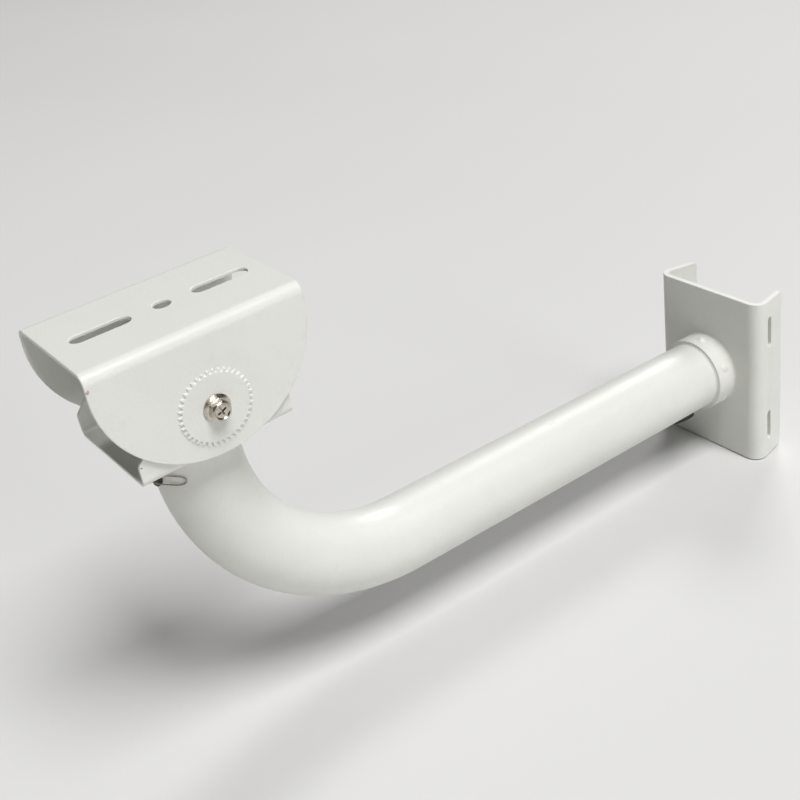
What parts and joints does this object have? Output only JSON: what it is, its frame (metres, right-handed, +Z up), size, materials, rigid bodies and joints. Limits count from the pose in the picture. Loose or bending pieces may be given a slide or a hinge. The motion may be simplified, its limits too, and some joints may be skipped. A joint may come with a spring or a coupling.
{
  "type": "camera mounting bracket",
  "caption": "Bent tube arm bracket with a slotted pole plate at one end and a tilting, toothed camera seat at the other.",
  "frame": {"origin": "on the arm's axis, in the plane of the plate flanges' rear edges, where they meet the pole", "axes": "+Z up, +Y from the arm into the pole, the arm and the seat reach out along -Y, X is the tilt axis"},
  "size_m": [0.0938, 0.4943, 0.2661],
  "materials": {
    "powder_coat": "satin powder coat, fine orange peel",
    "grommet_rubber": "matt",
    "nickel_plate": "bright nickel plate",
    "zinc_plate": "zinc plate",
    "wire_steel": "drawn steel wire, dull"
  },
  "bodies": {
    "bracket": {"back_plate": "powder_coat", "arm_sleeve": "powder_coat", "arm_tube": "powder_coat", "sleeve_front_weld": "powder_coat", "sleeve_plate_weld": "powder_coat", "sleeve_rivet_1": "powder_coat", "sleeve_rivet_2": "powder_coat", "sleeve_rivet_3": "powder_coat", "sleeve_rivet_4": "powder_coat", "sleeve_rivet_5": "powder_coat", "sleeve_rivet_6": "powder_coat", "cradle_weld": "powder_coat", "base_grommet": "grommet_rubber", "head_grommet": "grommet_rubber", "draw_wire": "wire_steel", "cradle": "powder_coat", "pivot_screw_right": "nickel_plate", "pivot_screw_left": "nickel_plate", "weld_nut_right": "zinc_plate", "weld_nut_left": "zinc_plate"},
    "seat_yoke": {"yoke": "powder_coat"}
  },
  "joints": [
    {"name": "seat_tilt", "type": "hinge", "parent": "bracket", "child": "seat_yoke", "pos_m": [0, -0.4337, 0.15664], "axis": [1, 0, 0], "range_deg": [-71, 72]}
  ]
}
